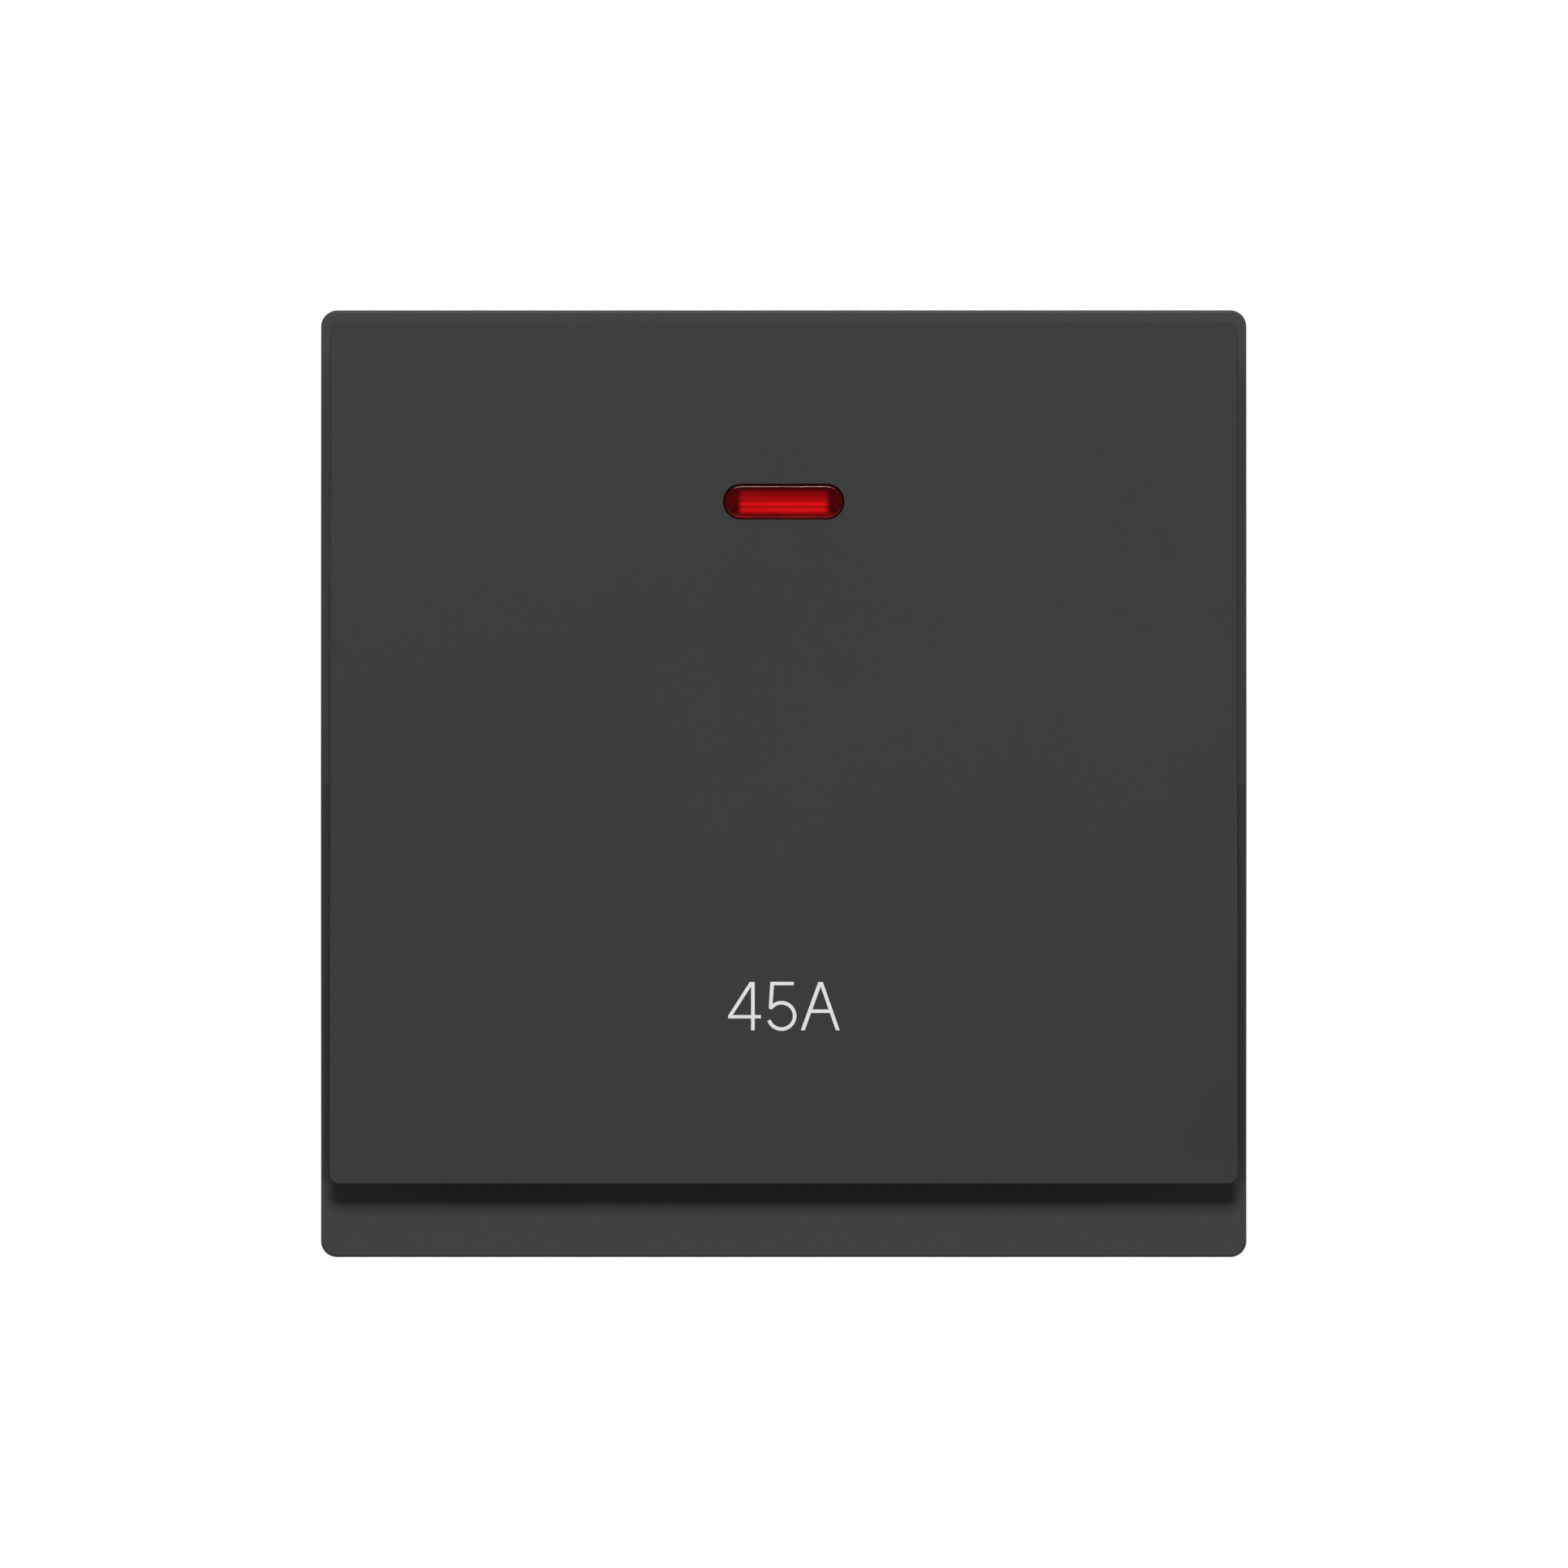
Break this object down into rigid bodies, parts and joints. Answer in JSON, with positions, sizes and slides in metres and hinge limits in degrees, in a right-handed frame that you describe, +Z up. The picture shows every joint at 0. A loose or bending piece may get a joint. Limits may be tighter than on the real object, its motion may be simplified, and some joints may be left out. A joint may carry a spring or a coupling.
{
  "type": "double pole switch",
  "caption": "Wall switch: a flat dark grey face plate under a large rocker with a red indicator lens, on a yoke with fixing slots, with a rear housing for brass terminals.",
  "frame": {"origin": "middle of the face plate, on the wall's surface, midway between the two fixing slots", "axes": "+Z up, front faces -Y, +X to the right seen from the front, the rear housing reaches along +Y"},
  "size_m": [0.086, 0.0372, 0.088],
  "materials": {
    "graphite_plastic": "fine matt moulded texture",
    "red_lens": "clear red, polished",
    "yoke_plastic": "moulded, satin",
    "carrier_nylon": "moulded nylon, satin",
    "base_plastic": "thermoset moulding, satin",
    "terminal_brass": "extruded, lightly tumbled",
    "contact_silver": "silver alloy, coined",
    "blade_copper": "stamped copper, half hard",
    "zinc_steel": "bright zinc plate",
    "spring_steel": "drawn wire",
    "lamp_glass": "clear glass bulb, lit",
    "resistor_body": "lacquered",
    "lead_wire": "tinned copper"
  },
  "bodies": {
    "fixed": {"trim_frame": "graphite_plastic", "mounting_yoke": "yoke_plastic", "switch_base": "base_plastic", "earth_terminal": "terminal_brass", "terminal_screws": "zinc_steel", "earth_screw": "zinc_steel", "base_screws": "zinc_steel", "indicator_lamp": "lamp_glass", "lamp_resistor": "resistor_body", "live_fixed_contact": "contact_silver", "live_load_terminal": "terminal_brass", "live_supply_terminal": "terminal_brass", "live_lamp_lead": "lead_wire", "neutral_fixed_contact": "contact_silver", "neutral_load_terminal": "terminal_brass", "neutral_supply_terminal": "terminal_brass", "neutral_lamp_lead": "lead_wire"},
    "rocker": {"rocker_cover": "graphite_plastic", "indicator_lens": "red_lens", "rocker_carrier": "carrier_nylon", "live_spring": "spring_steel", "neutral_spring": "spring_steel"},
    "live_plunger": {"live_plunger": "carrier_nylon"},
    "live_blade": {"live_blade": "blade_copper", "live_moving_contact": "contact_silver"},
    "neutral_plunger": {"neutral_plunger": "carrier_nylon"},
    "neutral_blade": {"neutral_blade": "blade_copper", "neutral_moving_contact": "contact_silver"}
  },
  "joints": [
    {"name": "rocker_tilt", "type": "hinge", "parent": "fixed", "child": "rocker", "pos_m": [0, -0.0032, 0], "axis": [1, 0, 0], "range_deg": [0, 6.4]},
    {"name": "live_plunger_slide", "type": "slide", "parent": "rocker", "child": "live_plunger", "axis": [0, -0.9984, 0.0558], "range_m": [0, 0.0012], "stiffness_N_per_m": 1500, "springref_m": -0.001, "deforming": ["live_spring"]},
    {"name": "live_blade_rock", "type": "hinge", "parent": "fixed", "child": "live_blade", "pos_m": [0.0125, 0.0116, 0], "axis": [1, 0, 0], "range_deg": [-18, 0]},
    {"name": "neutral_plunger_slide", "type": "slide", "parent": "rocker", "child": "neutral_plunger", "axis": [0, -0.9984, 0.0558], "range_m": [0, 0.0012], "stiffness_N_per_m": 1500, "springref_m": -0.001, "deforming": ["neutral_spring"]},
    {"name": "neutral_blade_rock", "type": "hinge", "parent": "fixed", "child": "neutral_blade", "pos_m": [-0.0125, 0.0116, 0], "axis": [1, 0, 0], "range_deg": [-18, 0]}
  ],
  "couplings": [
    {"joint": "live_blade_rock", "follows": "rocker_tilt", "ratio": -2.8125},
    {"joint": "neutral_blade_rock", "follows": "rocker_tilt", "ratio": -2.8125}
  ]
}
